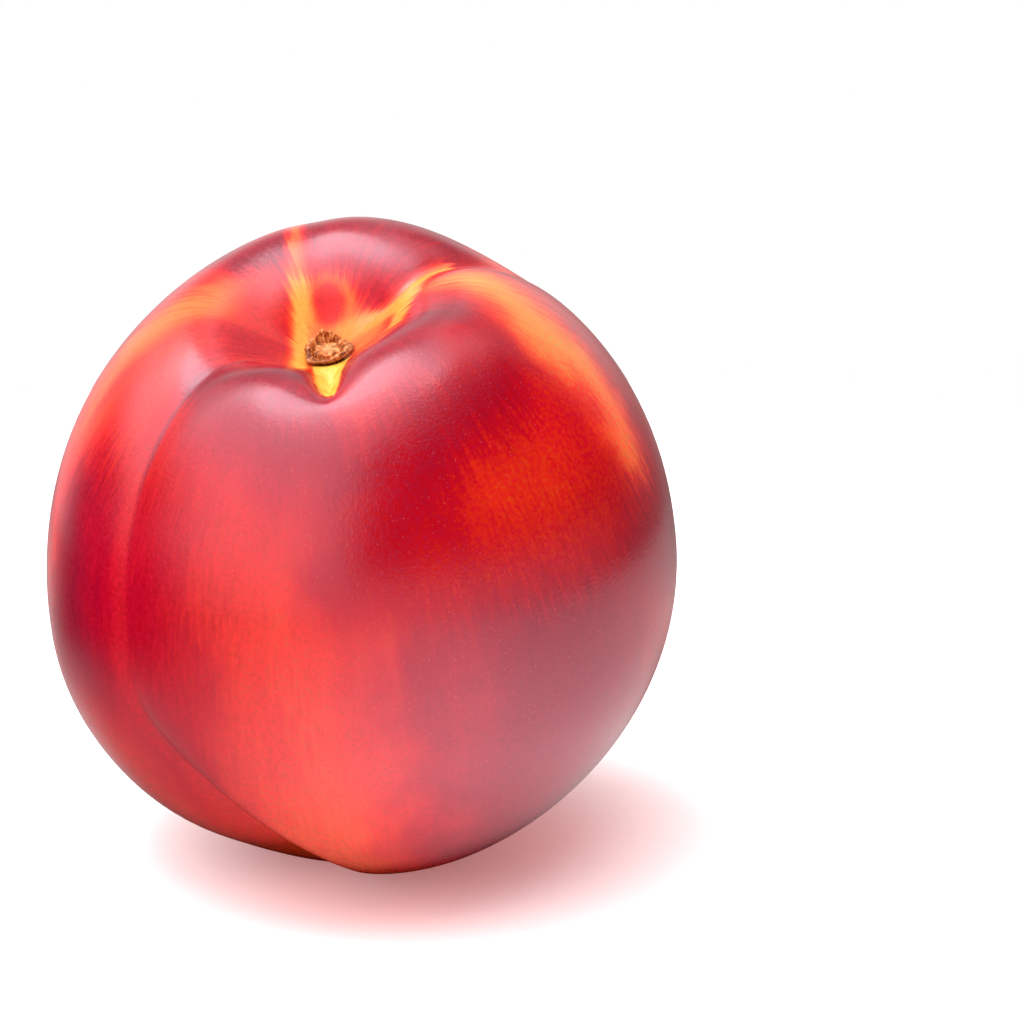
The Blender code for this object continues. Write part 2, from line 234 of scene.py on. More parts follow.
# Painted light: the skin's colour is brightened at the near and far sides, for light through the
# skin
NEAR_PAINTED_LIGHT = ((62, 49), (76, 56), 7, 9, 9)
FAR_PAINTED_LIGHT = ((-73, 46), (-75, 62), 6, 6, 8)
DULL_WALL = ((-3, 6), (8, 7), 6, 6, 2.5)  # the cavity's back wall, on the top map
# The suture's dark line and the pale band beside it, partly painted sheen, by distance from the
# line
LINE_HALF_WIDTH_MM = (0.1, 0.55)
PALE_FOLD_SHEEN_START_MM = (-3.6, -1.6)
PALE_FOLD_SHEEN_END_MM = (-0.5, 0.3)
PALE_FOLD_SHEEN_BLUSH = 0.72

# The scales of the skin's noises, round the stem and in metres
FINE_STREAKS, WIDE_STREAKS, TOP_STREAKS = 60, 9, 22
CLOUDS, GRAINS, FRECKLES, WANDERING, PORES = 95, 1900, 1900, 420, 2700
STREAK_STRETCH = 0.003  # how fast streaks change along the fruit, for each degree
BRUSHED_TURN = 14  # how far the strokes' edges are brushed out, in degrees
BRUSHED_POLAR = 16

# The skin's satin shine, and how much of it the dull wall loses
SHINE = 0.72
SHINE_LOSS = 0.52
SHINE_TINT = (1, 0.84, 0.98, 1)


def wrap(azimuth):
    """The same direction, between -180 and 180."""
    return (azimuth + 180) % 360 - 180


def bump(distance, spread):
    """A smooth hill, 1 at no distance."""
    return np.exp(-(distance / spread) ** 2)


def hills(rows, azimuth):
    """The sum of hills given as (height, azimuth, spread in azimuth)."""
    return sum(height * bump(wrap(azimuth - middle), spread) for height, middle, spread in rows)


def smooth(value, low, high):
    """0 below low, 1 above high, with a smooth rise between."""
    share = np.clip((value - low) / (high - low), 0, 1)
    return share * share * (3 - 2 * share)


def crease(distance, width, softness=0.0006):
    """The cross-section of a fold: 1 on its line, with a tight, rounded bottom."""
    return np.exp(-(np.sqrt(distance ** 2 + softness ** 2) - softness) / width)


def tipping():
    """The turn and the two tips from the stem's own axes to the world's."""
    turn, forward, left = np.radians([HEADING, TIP_FORWARD, TIP_LEFT])
    cosine, sine = np.cos(turn), np.sin(turn)
    about_z = np.array([[cosine, -sine, 0], [sine, cosine, 0], [0, 0, 1]])
    cosine, sine = np.cos(left), np.sin(left)
    about_y = np.array([[cosine, 0, -sine], [0, 1, 0], [sine, 0, cosine]])
    cosine, sine = np.cos(forward), np.sin(forward)
    about_x = np.array([[1, 0, 0], [0, cosine, -sine], [0, sine, cosine]])
    return about_x @ about_y @ about_z


def suture_azimuth(polar):
    """Where the suture runs at this polar angle."""
    hook = SUTURE_HOOK * (1 - smooth(polar, 5, 16))
    drift = SUTURE_DRIFT * smooth(polar, 10, 80)
    sweep = SUTURE_SWEEP * smooth(polar, 78, 125)
    return SUTURE_START + hook + drift + sweep


def body_radius(polar, azimuth):
    """Distance of the body from its middle, with the swells of its halves and its seat."""
    angle, turn = np.radians(polar), np.radians(azimuth)
    across, along = np.sin(turn), np.cos(turn)
    half_x = np.where(along > 0, SUTURE_SIDE, BACK_SIDE)
    half_y = np.where(across > 0, NEAR_CHEEK, FAR_CHEEK)
    half_width = 1 / np.sqrt((along / half_x) ** 2 + (across / half_y) ** 2)
    upper = polar <= 90
    height = np.where(upper, SHOULDER_HEIGHT, BASE_HEIGHT)
    power = np.where(upper, SHOULDER_FULLNESS, BASE_FULLNESS)
    side = np.sin(angle) / half_width
    rise = np.abs(np.cos(angle)) / height
    radius = (side ** power + rise ** power) ** (-1 / power)

    for height, swell_polar, swell_azimuth in SWELLS:
        swell = bump(wrap(azimuth - swell_azimuth), SWELL_AZIMUTH_SPREAD)
        radius = radius + height * swell * bump(polar - swell_polar, SWELL_POLAR_SPREAD)

    down = tipping().T @ np.array([math.radians(SEAT_RIGHT), math.radians(SEAT_BACK), -1])
    down = down / np.linalg.norm(down)
    facing = np.sin(angle) * (along * down[0] + across * down[1]) + np.cos(angle) * down[2]
    off_seat = np.degrees(np.arccos(np.clip(facing, -1, 1)))
    return radius + SEAT_SWELL * bump(off_seat, SEAT_SPREAD)


def arc_from(azimuth, line, ring):
    """Signed distance along the ring from a line at another azimuth."""
    return 2 * ring * np.sin(np.radians(wrap(azimuth - line)) / 2)


def suture_cut(polar, azimuth, ring):
    """How deep the suture's fold cuts the skin, less the lip of the half that folds over it."""
    off = wrap(azimuth - suture_azimuth(polar))
    arc = np.abs(arc_from(azimuth, suture_azimuth(polar), ring))
    top_part = (SUTURE_TOP_DEPTH - SUTURE_MIDDLE_DEPTH) * (1 - smooth(polar, *SUTURE_TOP))
    fading = 1 - smooth(polar, *SUTURE_FADE_OUT)
    low = smooth(polar, *SUTURE_LOW)
    low_part = (SUTURE_LOW_DEPTH - SUTURE_MIDDLE_DEPTH) * low * fading
    depth = (SUTURE_MIDDLE_DEPTH + top_part + low_part) * (0.4 + 0.6 * fading)
    depth = depth * smooth(polar, *SUTURE_FADE_IN)
    low_width = np.where(off > 0, SUTURE_LOW_WIDTH_NEAR, SUTURE_LOW_WIDTH_FAR)
    width = SUTURE_WIDTH + (low_width - SUTURE_WIDTH) * low
    cut = depth * crease(arc, width) * (1 - smooth(np.abs(off), *SUTURE_SIDES))
    lip = FOLD_LIP * smooth(polar, *LIP_START) * (1 - smooth(polar, *LIP_END))
    return cut - np.where(off > 0, lip * bump(arc - LIP_DISTANCE, LIP_SPREAD), 0)


def back_crease_cut(polar, azimuth, ring):
    """How deep the crease opposite the suture cuts the shoulder."""
    off = wrap(azimuth - BACK_CREASE_AZIMUTH)
    arc = np.abs(arc_from(azimuth, BACK_CREASE_AZIMUTH, ring))
    reach = smooth(polar, *BACK_CREASE_START) * (1 - smooth(polar, *BACK_CREASE_END))
    fading = 1 - smooth(np.abs(off), *BACK_CREASE_SIDES)
    return BACK_CREASE_DEPTH * reach * crease(arc, BACK_CREASE_WIDTH) * fading


def top_rise(polar, azimuth, ring):
    """How far the shoulders stand up, less the branch's groove and the stem's cavity."""
    shoulders = hills(SHOULDER_LOBES, azimuth)
    shoulders = shoulders * bump(ring - SHOULDER_RING_RADIUS, SHOULDER_RING_WIDTH)
    off = np.radians(azimuth - BRANCH_AZIMUTH)
    across, along = ring * np.sin(off), ring * np.cos(off)
    front_reach = smooth(along, *BRANCH_START) * (1 - smooth(along, *BRANCH_FRONT_END))
    front = BRANCH_FRONT_DEPTH * crease(across, BRANCH_FRONT_WIDTH, 0.0008) * front_reach
    back_reach = smooth(-along, *BRANCH_START) * (1 - smooth(-along, *BRANCH_BACK_END))
    back = BRANCH_BACK_DEPTH * bump(across, BRANCH_BACK_WIDTH) * back_reach
    cavity = CAVITY_DEPTH * np.exp(-(ring / CAVITY_RADIUS) ** CAVITY_POWER)
    return (shoulders - front - back - cavity) * (1 - smooth(polar, *TOP_END))


def blossom_end_rise(polar, ring):
    """How far the blossom end is drawn in, with its tip standing out again."""
    drawn_in = DIMPLE_DEPTH * bump(ring, DIMPLE_RADIUS) - TIP_HEIGHT * bump(ring, TIP_RADIUS)
    return drawn_in * (polar > 90)


def skin(polar, azimuth):
    """Points of the skin in the stem's own axes."""
    radius = body_radius(polar, azimuth)
    angle, turn = np.radians(polar), np.radians(azimuth)
    ring = radius * np.sin(angle)
    cut = suture_cut(polar, azimuth, ring) + back_crease_cut(polar, azimuth, ring)
    share = 1 - cut / radius
    height = radius * np.cos(angle) * share + top_rise(polar, azimuth, ring)
    height = height + blossom_end_rise(polar, ring)
    return np.stack([ring * share * np.cos(turn), ring * share * np.sin(turn), height], axis=-1)


def skin_angles(rows, columns):
    """Polar angle and azimuth of each ring's points, closer together by the stem and the suture."""
    share = np.arange(rows) / rows
    eased = STEM_EVENNESS * share + (1 - STEM_EVENNESS) * share ** 2
    polar = SOCKET_POLAR + (180 - SOCKET_POLAR) * eased
    column = 360 * np.arange(columns) / columns
    column = column - SUTURE_PULL * np.sin(np.radians(column))
    polar, column = np.meshgrid(polar, column, indexing="ij")
    along_suture = 0.5 + 0.5 * np.cos(np.radians(column))
    return polar, column + suture_azimuth(polar) * along_suture


def closed_rings(first, rings, last):
    """Points and faces of one body made of rings of points, closed at both ends by one point."""
    points = np.vstack([first, rings.reshape(-1, 3), last])
    columns, end = rings.shape[1], len(points) - 1
    last_ring = end - columns
    faces = []
    for j in range(columns):
        k = (j + 1) % columns
        faces.append((0, 1 + j, 1 + k))
        for here in range(1, last_ring, columns):
            below = here + columns
            faces.append((here + j, below + j, below + k, here + k))
        faces.append((last_ring + j, end, last_ring + k))
    return points, faces


def keep_map(mesh, name, values):
    """Keeps three numbers with each point of a mesh, for its material to read."""
    kept = mesh.attributes.new(name, "FLOAT_VECTOR", "POINT")
    kept.data.foreach_set("vector", np.asarray(values, np.float32).ravel())


def skin_mesh(rows, columns):
    """The skin where the solid lies, with its maps, and how far its origin moved to get there."""
    polar, azimuth = skin_angles(rows, columns)
    rings = skin(polar, azimuth)
    mouth = rings[0]
    bottom = mouth.copy()
    bottom[:, 2] = mouth[:, 2].mean() - SOCKET_DEPTH
    rings = np.concatenate([bottom[None], rings])
    blossom_end = skin(np.array([180]), np.array([0]))[0]
    points, faces = closed_rings((0, 0, bottom[0, 2]), rings, blossom_end)

    up = tipping()[2]
    height = points @ up
    level = height.min() + FLAT_DEPTH
    pressed = height < level
    points[pressed] += np.outer(level - height[pressed], up)
    laid = points @ tipping().T
    lowest, highest = np.array(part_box("fruit"))
    middle = 0.5 * (laid.min(0) + laid.max(0) - lowest - highest)
    middle[2] = level

    mesh = bpy.data.meshes.new("nectarine_skin")
    mesh.from_pydata((laid - middle).tolist(), [], faces)
    heading = np.radians(azimuth + HEADING)
    reach = np.hypot(rings[1:, :, 0], rings[1:, :, 1])
    suture_mm = 1000 * arc_from(azimuth, suture_azimuth(polar), reach)
    maps = np.stack([polar * np.cos(heading), polar * np.sin(heading), suture_mm], axis=-1)
    maps = np.concatenate([maps[:1], maps]).reshape(-1, 3)
    maps = np.concatenate([[[0, 0, 0]], maps, [[0, -180, 0]]])
    keep_map(mesh, "skin_map", maps)
    below_top = np.hypot(maps[:, 0], maps[:, 1]) > TOP_REACH
    mesh.polygons.foreach_set("material_index", [int(below_top[face[0]]) for face in faces])
    return mesh, middle


class Tree:
    """Adds nodes to one node tree, with their inputs set or linked by name."""

    def __init__(self, tree):
        self.tree = tree

    def fill(self, node, inputs):
        """Links the inputs of a node to other sockets, or sets them, by name or number."""
        for name, value in inputs.items():
            if isinstance(value, bpy.types.NodeSocket):
                self.tree.links.new(value, node.inputs[name])
            else:
                node.inputs[name].default_value = value
        return node

    def add(self, kind, inputs=(), **settings):
        """One shader node of a kind, with settings and inputs."""
        node = self.tree.nodes.new("ShaderNode" + kind)
        for name, value in settings.items():
            setattr(node, name, value)
        return self.fill(node, dict(inputs))

    def math(self, operation, *values, clamp=False):
        """The output of one Math node."""
        inputs = enumerate(values)
        return self.add("Math", inputs, operation=operation, use_clamp=clamp).outputs[0]

    def line(self, value, slope, start):
        """A value times a slope, added to a start."""
        return self.math("MULTIPLY_ADD", value, slope, start)

    def times(self, *values):
        """The product of two or more values."""
        product = values[0]
        for value in values[1:]:
            product = self.math("MULTIPLY", product, value)
        return product

    def vector(self, operation, *values, output="Vector"):
        """One output of a Vector Math node."""
        inputs = enumerate(values)
        return self.add("VectorMath", inputs, operation=operation).outputs[output]

    def pack(self, x, y, z=0):
        """A vector of three values."""
        return self.add("CombineXYZ", {"X": x, "Y": y, "Z": z}).outputs[0]

    def split(self, vector):
        """The three values of a vector."""
        return self.add("SeparateXYZ", {"Vector": vector}).outputs

    def ease(self, value, low, high, at_low=0, at_high=1):
        """A smooth change between two values as another goes from low to high."""
        names = ("Value", "From Min", "From Max", "To Min", "To Max")
        inputs = zip(names, (value, low, high, at_low, at_high))
        node = self.add("MapRange", inputs, interpolation_type="SMOOTHSTEP")
        return node.outputs["Result"]

    def blend(self, share, a, b):
        """A value between two, by share."""
        return self.add("Mix", {0: share, 2: a, 3: b}, data_type="FLOAT").outputs[0]

    def tint(self, share, a, b, way="MIX"):
        """A colour between two, by share."""
        inputs = {0: share, 6: a, 7: b}
        return self.add("Mix", inputs, data_type="RGBA", blend_type=way).outputs[2]

    def noise(self, place, scale, detail=2, roughness=0.5):
        """A noise texture at a scale, in parts of the place's own unit."""
        inputs = {"Vector": place, "Scale": scale, "Detail": detail, "Roughness": roughness}
        return self.add("TexNoise", inputs).outputs["Fac"]

    def centred(self, value):
        """A value of 0 to 1, moved to lie about 0."""
        return self.math("SUBTRACT", value, 0.5)

    def scaled(self, colour, share):
        """A colour made brighter or darker by a share."""
        return self.vector("MULTIPLY", colour, self.pack(share, share, share))

    def turn(self, x, y):
        """The turn of a direction, 0 to the front and negative to the left."""
        return self.math("DEGREES", self.math("ARCTAN2", x, self.times(y, -1)))

    def ramp(self, value, stops):
        """The colour at a value, between stops given as (place, colour)."""
        made = self.add("ValToRGB", {"Fac": value})
        elements = made.color_ramp.elements
        elements.remove(elements[1])
        elements[0].position = stops[0][0]
        elements[0].color = (*stops[0][1], 1)
        for place, colour in stops[1:]:
            elements.new(place).color = (*colour, 1)
        return made.outputs["Color"]

    def group(self, made, **inputs):
        """One use of a node group. Inputs are named with underscores for spaces."""
        inputs = {name.replace("_", " "): value for name, value in inputs.items()}
        return self.add("Group", inputs, node_tree=made).outputs


def new_group(name, inputs, outputs):
    """A shader node group with named sockets, as (group, its tree helper, inputs, outputs).

    Sockets are given as {label: kind}.
    """
    made = bpy.data.node_groups.new(name, "ShaderNodeTree")
    for way, sockets in (("INPUT", inputs), ("OUTPUT", outputs)):
        for label, kind in sockets.items():
            made.interface.new_socket(name=label, in_out=way, socket_type="NodeSocket" + kind)
    given, result = made.nodes.new("NodeGroupInput"), made.nodes.new("NodeGroupOutput")
    return made, Tree(made), given.outputs, result


def stroke_group():
    """A brush stroke on a flat map: full strength on a line, fading out past its edge."""
    inputs = dict.fromkeys(("Place", "Start", "End"), "Vector")
    inputs.update(dict.fromkeys(("Start Width", "End Width", "Softness", "Strength"), "Float"))
    made, tree, given, result = new_group("Stroke", inputs, {"Mask": "Float"})
    away = tree.vector("SUBTRACT", given["Place"], given["Start"])
    line = tree.vector("SUBTRACT", given["End"], given["Start"])
    along = tree.vector("DOT_PRODUCT", away, line, output="Value")
    whole = tree.math("MAXIMUM", tree.vector("DOT_PRODUCT", line, line, output="Value"), 0.0001)
    share = tree.math("DIVIDE", along, whole, clamp=True)
    nearest = tree.add("VectorMath", {"Scale": share, 0: line}, operation="SCALE")
    off = tree.vector("SUBTRACT", away, nearest.outputs[0])
    distance = tree.vector("LENGTH", off, output="Value")
    wider = tree.math("SUBTRACT", given["End Width"], given["Start Width"])
    width = tree.line(share, wider, given["Start Width"])
    past_edge = tree.math("SUBTRACT", distance, width)
    inner = tree.times(given["Softness"], -1)
    mask = tree.ease(past_edge, inner, given["Softness"], given["Strength"], 0)
    tree.fill(result, {"Mask": mask})
    return made


def mottle_group():
    """Uneven natural colour: large clouds with finer ones in them, about the middle of 0 to 1."""
    inputs = {"Place": "Vector", "Scale": "Float", "Contrast": "Float"}
    made, tree, given, result = new_group("Mottle", inputs, {"Value": "Float"})
    clouds = tree.noise(given["Place"], given["Scale"], detail=2, roughness=0.55)
    spread = (tree.centred(clouds), given["Contrast"], 0.5)
    tree.fill(result, {"Value": tree.math("MULTIPLY_ADD", *spread, clamp=True)})
    return made


def new_material(name):
    """A material with only its Principled shader and output, and a helper to add its nodes."""
    made = bpy.data.materials.new(name)
    made.use_nodes = True
    return made, Tree(made.node_tree), made.node_tree.nodes["Principled BSDF"]


def stroke_mask(tree, stroke, place, start, end, start_width, end_width, softness, strength):
    """The mask of one brush stroke on a map."""
    return tree.group(
        stroke, Place=place, Start=(*start, 0), End=(*end, 0),
        Start_Width=start_width, End_Width=end_width, Softness=softness, Strength=strength,
    )["Mask"]


def painted(tree, blush, strokes, place, stroke):
    """The blush after a row of strokes on one map."""
    for *line, target, strength in strokes:
        mask = stroke_mask(tree, stroke, place, *line, strength)
        blush = tree.blend(mask, blush, target)
    return blush


def skin_places(tree):
    """Where a point of the skin lies, by name: on its maps, along its streaks and in the piece."""
    kept = tree.add("Attribute", attribute_name="skin_map").outputs["Vector"]
    right, back, suture_mm = tree.split(kept)
    top = tree.pack(right, back)
    polar = tree.vector("LENGTH", top, output="Value")
    along = tree.pack(0, 0, tree.times(polar, STREAK_STRETCH))
    return SimpleNamespace(
        top=top, polar=polar, turn=tree.turn(right, back), suture_mm=suture_mm,
        along_streaks=tree.vector("ADD", tree.vector("NORMALIZE", top), along),
        here=tree.add("TexCoord").outputs["Object"],
    )


def brushed_places(tree, mottle):
    """The same, with the skin's streaks and grains, and the side map brushed out along them."""
    at = skin_places(tree)
    streaks = tree.noise(at.along_streaks, FINE_STREAKS, detail=3, roughness=0.65)
    at.streaks = tree.centred(streaks)
    at.grains = tree.group(mottle, Place=at.here, Scale=GRAINS, Contrast=2.6)["Value"]
    clouds = tree.group(mottle, Place=at.here, Scale=CLOUDS, Contrast=1.6)["Value"]
    brushed_turn = tree.line(tree.centred(clouds), BRUSHED_TURN, at.turn)
    at.brushed_polar = tree.line(at.streaks, BRUSHED_POLAR, at.polar)
    at.side = tree.pack(brushed_turn, at.brushed_polar)
    return at


def side_blush_group(look, stroke, mottle):
    """How deep the blush is by the strokes round the side, and the unevenness to add to it."""
    outputs = {"Blush": "Float", "Unevenness": "Float"}
    made, tree, _, result = new_group("Side Blush", {}, outputs)
    at = brushed_places(tree, mottle)
    wide_streaks = tree.centred(tree.noise(at.along_streaks, WIDE_STREAKS))
    blush = tree.line(wide_streaks, 0.35, GROUND_BLUSH)
    # Streaks are stronger on the far half, and mottling on the near cheek
    streaked = tree.times(look.streaks, tree.ease(at.turn, -20, 20, 1, 0.4))
    near_cheek = stroke_mask(tree, stroke, at.side, *NEAR_CHEEK_PATCH, 1)
    mottled = tree.times(look.mottling, tree.ease(near_cheek, 0, 1, 0.35, 1))
    mottling = tree.times(tree.centred(at.grains), mottled)
    tree.fill(result, {
        "Blush": painted(tree, blush, SIDE_STROKES, at.side, stroke),
        "Unevenness": tree.line(at.streaks, streaked, mottling),
    })
    return made


def top_blush(tree, look, at, stroke, blush, unevenness):
    """The blush and its unevenness after the strokes and streaks round the stem."""
    wander = tree.centred(tree.noise(at.here, WANDERING))
    bare_place = tree.vector("ADD", at.top, tree.pack(tree.times(wander, 1.3), wander))
    streaks = tree.centred(tree.noise(at.along_streaks, TOP_STREAKS, roughness=0.7))
    drawn_out = tree.line(streaks, 0.3, 1)
    top_place = tree.vector("MULTIPLY", bare_place, tree.pack(drawn_out, drawn_out))
    blush = painted(tree, blush, TOP_STROKES, top_place, stroke)
    blush = painted(tree, blush, BARE_STROKES, bare_place, stroke)
    unevenness = tree.times(unevenness, tree.ease(at.polar, 16, 34, 0.5, 1))
    streaky = tree.ease(at.polar, 24, 38, look.top_streaks, 0)
    streaky = tree.times(streaky, tree.ease(at.polar, 9, 14))
    return blush, tree.line(streaks, streaky, unevenness)


def fold_masks(tree, look, at):
    """The masks of the suture's dark line, weaker down the side, and of the pale band beside it."""
    line = tree.times(
        tree.ease(tree.math("ABSOLUTE", at.suture_mm), *LINE_HALF_WIDTH_MM, 1, 0),
        tree.ease(at.polar, 8, 18),
        tree.ease(at.polar, 36, 58, 1, 0.1),
    )
    # The pale band is partly paler skin and partly painted sheen along the fold
    band = tree.times(
        tree.ease(at.suture_mm, *PALE_FOLD_SHEEN_START_MM),
        tree.ease(at.suture_mm, *PALE_FOLD_SHEEN_END_MM, 1, 0),
        tree.ease(at.brushed_polar, 38, 56, 0, look.pale_fold_and_sheen),
        tree.ease(at.polar, 92, 112, 1, 0),
    )
    return line, band


def blush_colour(tree, look, blush):
    """The colour of the blush, from the bare ground colour to the deepest dusk, partly painted
    shade.
    """
    share = tree.math("DIVIDE", blush, DEEPEST_BLUSH_AND_SHADE, clamp=True)
    colours = (look.yellow, look.amber, look.orange, look.coral, look.red, look.crimson, look.dusk_and_shade)
    depths = (0, 0.22, 0.42, 0.62, 0.82, 1, DEEPEST_BLUSH_AND_SHADE)
    stops = [(depth / DEEPEST_BLUSH_AND_SHADE, colour) for depth, colour in zip(depths, colours)]
    return tree.ramp(share, stops)


def skin_colour_group(look, stroke, mottle):
    """The skin's colour and finish by its blush: freckled, painted light at the sides, rosy far
    off.
    """
    inputs = {"Blush": "Float", "Unevenness": "Float"}
    outputs = {"Color": "Color", "Roughness": "Float", "Pores": "Float"}
    made, tree, given, result = new_group("Skin Colour", inputs, outputs)
    at = brushed_places(tree, mottle)
    line, band = fold_masks(tree, look, at)
    blush = tree.math("ADD", given["Unevenness"], given["Blush"])
    # The pale band by the suture: partly paler skin, partly painted sheen
    blush = tree.blend(band, blush, PALE_FOLD_SHEEN_BLUSH)
    colour = blush_colour(tree, look, tree.line(line, 0.2, blush))

    cells = tree.add("TexVoronoi", {"Vector": at.here, "Scale": FRECKLES})
    spot = tree.ease(cells.outputs["Distance"], 0.05, 0.24, 1, 0)
    chosen = tree.ease(tree.split(cells.outputs["Color"])[0], 0, 0.9)
    fewer_far = tree.ease(at.turn, -40, 0, 0.35, 1)
    freckle = tree.times(spot, chosen, look.freckles, fewer_far)
    colour = tree.tint(freckle, colour, (*look.freckle, 1))

    # Painted light: the colour is made brighter at the two sides, standing in for light through the
    # skin
    glow = stroke_mask(tree, stroke, at.side, *NEAR_PAINTED_LIGHT, look.glow)
    far_painted_light = stroke_mask(tree, stroke, at.side, *FAR_PAINTED_LIGHT, look.glow)
    colour = tree.scaled(colour, tree.math("ADD", tree.math("ADD", glow, far_painted_light), 1))
    far_half = tree.ease(at.turn, -50, -12, 1, 0)
    far_half = tree.times(far_half, tree.ease(at.polar, 44, 58))
    colour = tree.tint(far_half, colour, (*look.rosy, 1), "MULTIPLY")
    colour = tree.vector("ADD", colour, tree.pack(0, 0, tree.times(far_half, 0.007)))
    colour = tree.tint(tree.times(line, 0.45), colour, (*look.crimson, 1))
    shade = tree.line(tree.centred(at.grains), look.grain, 1)
    tree.fill(result, {
        "Color": tree.scaled(colour, shade),
        "Roughness": tree.line(at.grains, look.roughness_spread, look.roughness),
        "Pores": tree.noise(at.here, PORES, detail=1),
    })
    return made


def skin_material(look, name, stroke, side_blush, skin_colour, on_top):
    """The nectarine's skin: yellow ground under a streaked crimson blush, with a satin shine.

    Both parts of the skin have it. Only the one on top has the strokes and streaks round the stem.
    """
    made, tree, shader = new_material(name)
    side = tree.group(side_blush)
    blush, unevenness, shine = side["Blush"], side["Unevenness"], SHINE
    if on_top:
        at = skin_places(tree)
        blush, unevenness = top_blush(tree, look, at, stroke, blush, unevenness)
        dull = stroke_mask(tree, stroke, at.top, *DULL_WALL, SHINE_LOSS)
        shine = tree.math("SUBTRACT", SHINE, dull)
    skin = tree.group(skin_colour, Blush=blush, Unevenness=unevenness)
    relief = {"Height": skin["Pores"], "Distance": look.relief, "Strength": 1}
    tree.fill(shader, {
        "Base Color": skin["Color"],
        "Roughness": skin["Roughness"],
        "Normal": tree.add("Bump", relief).outputs["Normal"],
        "IOR": 1.45,
        "Specular IOR Level": shine,
        "Specular Tint": SHINE_TINT,
    })
    return made


def stub_material(look):
    """Dry, fibrous stem: ochre with darker torn edges, painted shade in gaps and a pale broken
    middle.
    """
    made, tree, shader = new_material("dried_stem")
    here = tree.add("Attribute", attribute_name="stem_map").outputs["Vector"]
    x, y, z = tree.split(here)
    across = tree.pack(x, y)
    radius = tree.vector("LENGTH", across, output="Value")
    direction = tree.vector("NORMALIZE", across)
    along = tree.pack(0, 0, tree.times(z, 150))
    fibres = tree.noise(tree.vector("ADD", direction, along), 5.5, detail=3, roughness=0.65)
    flecks = tree.noise(here, 2100, detail=3, roughness=0.6)
    worn = tree.line(fibres, 0.6, tree.times(flecks, 0.4))
    # The darkest fibres are partly the torn fibres' colour and partly painted shade in the gaps
    # between them
    tone = tree.ramp(worn, ((0.38, look.dark), (0.5, look.ochre), (0.64, look.pale)))
    middle = tree.ease(radius, 0.0002, 0.0011, 0.5, 0)
    coloured = tree.tint(middle, tone, (*look.pale, 1))
    # Darker towards the outer edge: partly torn edges, partly painted shade in the gaps round the
    # flaps
    edge = tree.ease(radius, 0.0019, 0.0026, 0, 0.45)
    coloured = tree.tint(edge, coloured, (*look.dark, 1))
    relief = tree.add("Bump", {"Height": worn, "Distance": 0.00025, "Strength": 0.9})
    tree.fill(shader, {
        "Base Color": coloured,
        "Roughness": tree.line(flecks, 0.25, 0.5),
        "Normal": relief.outputs["Normal"],
    })
    return made


def soft_rows(rings, between):
    """The same rings with more of them between, on smooth curves through the given ones."""
    padded = np.concatenate([rings[:1], rings, rings[-1:]])
    rows = []
    for i in range(len(rings) - 1):
        a, b, c, d = padded[i:i + 4]
        for t in np.arange(between) / between:
            rows.append(0.5 * (2 * b + (c - a) * t + (2 * a - 5 * b + 4 * c - d) * t ** 2
                               + (3 * b - 3 * c + d - a) * t ** 3))
    rows.append(rings[-1])
    return np.array(rows)


def stub_rings(turn):
    """Rings of the stub in the stem's axes, and the height of its socket's mouth.

    They run from a peg in the socket over a ragged skirt and dried flaps to the broken disc.
    """
    around = np.radians(turn)
    ragged = 0.5 + 0.28 * np.sin(3 * around + 0.8) + 0.22 * np.sin(7 * around + 2.1)
    frayed = 0.5 + 0.3 * np.sin(4 * around + 1.7 + np.sin(around))
    frayed = frayed + 0.2 * np.sin(9 * around + np.sin(2 * around))
    mouth = skin(np.full(len(turn), SOCKET_POLAR), turn)
    floor = mouth[:, 2].mean()
    socket_radius = np.hypot(mouth[:, 0], mouth[:, 1]).mean()

    def ring(radius, height):
        """A ring at a radius from the axis and a height over the socket's mouth."""
        x, y = radius * np.cos(around), radius * np.sin(around)
        return np.stack(np.broadcast_arrays(x, y, floor + height), axis=-1)

    def over_floor(radius):
        """A ring that follows the cavity's floor, one gap above it."""
        polar = np.degrees(np.arctan2(radius, SHOULDER_HEIGHT)) * np.ones_like(turn)
        return skin(polar, turn) + np.array([0, 0, 1.15 * GAP])

    tips = hills(STUB_TIPS, turn)
    flaps = hills(STUB_FLAPS, turn)
    skirt = STUB_SKIRT_RADIUS * (0.92 + 0.12 * ragged) + tips
    skirt_ring = over_floor(skirt)
    edge = skirt_ring + np.array([0, 0, STUB_EDGE_THICKNESS])
    flap = STUB_FLAP_HEIGHT * (0.62 + 0.3 * frayed) + flaps
    curl = bump(wrap(turn - STUB_FLAPS[0][1]), STUB_FLAPS[0][2])
    peg = socket_radius - GAP
    rings = np.stack([
        ring(peg, -SOCKET_DEPTH + GAP),
        ring(peg, 0.5 * GAP),
        over_floor(0.5 * (peg + STUB_SKIRT_RADIUS)),
        skirt_ring,
        edge,
        ring(skirt * (0.95 - 0.16 * curl) - 0.5 * tips, flap),
        ring(skirt * (0.82 - 0.16 * curl) - 0.5 * tips, flap - 0.0001 - 0.0005 * curl),
        ring(STUB_DISC_RADIUS * (1.14 - 0.1 * curl), 0.55 * STUB_DISC_HEIGHT),
        ring(STUB_DISC_RADIUS * (0.94 + 0.1 * ragged), STUB_DISC_HEIGHT * (0.9 + 0.2 * frayed)),
        ring(0.5 * STUB_DISC_RADIUS, STUB_DISC_HEIGHT + 0.0001),
    ])
    return rings, floor


